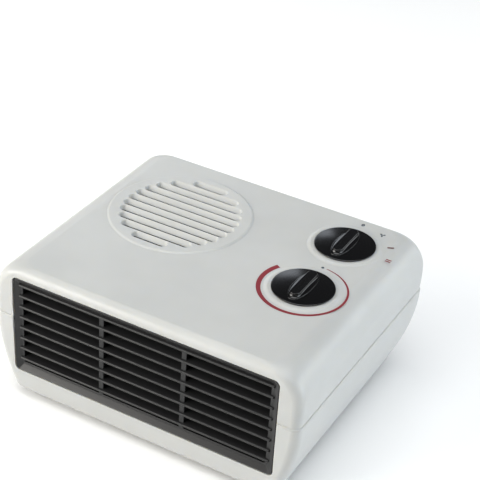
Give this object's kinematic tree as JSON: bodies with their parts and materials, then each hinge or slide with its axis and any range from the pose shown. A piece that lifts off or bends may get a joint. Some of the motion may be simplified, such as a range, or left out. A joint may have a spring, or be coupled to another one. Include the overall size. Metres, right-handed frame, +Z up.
{
  "type": "fan convector heater",
  "caption": "Flat electric fan heater: two-part casing with a round top intake, a louvred front outlet, a switch knob and a thermostat knob, with fan, motor and heating ribbons inside.",
  "frame": {"origin": "middle of the footprint, at the underside of the feet", "axes": "+X to the right seen from the front (longest side), +Y from the front outlet to the back, +Z up"},
  "size_m": [0.25, 0.206, 0.121],
  "materials": {
    "casing": "fine satin moulded plastic, light grey",
    "grille_black": "satin black moulded plastic",
    "knob_black": "gloss black moulded plastic",
    "foot_rubber": "matte black rubber",
    "gland_rubber": "matte black rubber",
    "screw_steel": "zinc-plated steel",
    "bracket_steel": "zinc-plated sheet steel",
    "lamination_steel": "oxidised electrical steel",
    "winding_copper": "enamelled copper winding",
    "bearing_bronze": "sintered bronze",
    "impeller_plastic": "grey moulded plastic",
    "scroll_plastic": "grey moulded plastic",
    "switch_phenolic": "brown phenolic moulding",
    "mica_board": "pressed mica board",
    "heating_alloy": "oxidised heating ribbon",
    "blade_metal": "rolled bimetal and bronze strip",
    "cutout_black": "black phenolic moulding",
    "terminal_plastic": "cream moulded plastic",
    "lead_brown": "brown insulated wire",
    "lead_blue": "blue insulated wire",
    "lead_white": "white braided insulated wire"
  },
  "bodies": {
    "root": {"top_cover": "casing", "bottom_cover": "casing", "front_grille": "grille_black", "foot_1": "foot_rubber", "foot_2": "foot_rubber", "foot_3": "foot_rubber", "foot_4": "foot_rubber", "cord_gland": "gland_rubber", "case_screw_1": "screw_steel", "case_screw_2": "screw_steel", "case_screw_3": "screw_steel", "case_screw_4": "screw_steel", "switch_screw_1": "screw_steel", "switch_screw_2": "screw_steel", "thermostat_screw_1": "screw_steel", "thermostat_screw_2": "screw_steel", "motor_screw_1": "screw_steel", "motor_screw_2": "screw_steel", "scroll_screw_1": "screw_steel", "scroll_screw_2": "screw_steel", "scroll_screw_3": "screw_steel", "terminal_screw": "screw_steel", "motor_bracket_upper": "bracket_steel", "motor_bracket_lower": "bracket_steel", "heater_frame": "bracket_steel", "motor_stator": "lamination_steel", "motor_coil": "winding_copper", "bearing_upper": "bearing_bronze", "bearing_lower": "bearing_bronze", "fan_scroll": "scroll_plastic", "switch_body": "switch_phenolic", "thermostat_body": "switch_phenolic", "mica_support_left": "mica_board", "mica_support_centre": "mica_board", "mica_support_right": "mica_board", "heating_ribbon_lower": "heating_alloy", "heating_ribbon_upper": "heating_alloy", "thermal_fuse": "heating_alloy", "thermostat_bimetal_blade": "blade_metal", "thermostat_contact_blade": "blade_metal", "thermal_cutout": "cutout_black", "terminal_block": "terminal_plastic", "lead_live": "lead_brown", "lead_thermostat": "lead_brown", "lead_neutral": "lead_blue", "lead_heater": "lead_white"},
    "function_control": {"function_knob": "knob_black", "switch_spindle": "screw_steel"},
    "thermostat_control": {"thermostat_knob": "knob_black", "thermostat_spindle": "screw_steel"},
    "fan": {"fan_impeller": "impeller_plastic", "fan_clip": "screw_steel", "motor_shaft": "screw_steel", "motor_rotor": "lamination_steel"}
  },
  "joints": [
    {"name": "function_knob_turn", "type": "hinge", "parent": "root", "child": "function_control", "pos_m": [0.076, 0.057, 0.115], "axis": [0, 0, -1], "range_deg": [0, 90]},
    {"name": "thermostat_knob_turn", "type": "hinge", "parent": "root", "child": "thermostat_control", "pos_m": [0.076, -0.01, 0.115], "axis": [0, 0, -1], "range_deg": [0, 300]},
    {"name": "fan_spin", "type": "hinge", "parent": "root", "child": "fan", "pos_m": [-0.0472, 0.0257, 0], "axis": [0, 0, 1], "continuous": true}
  ]
}
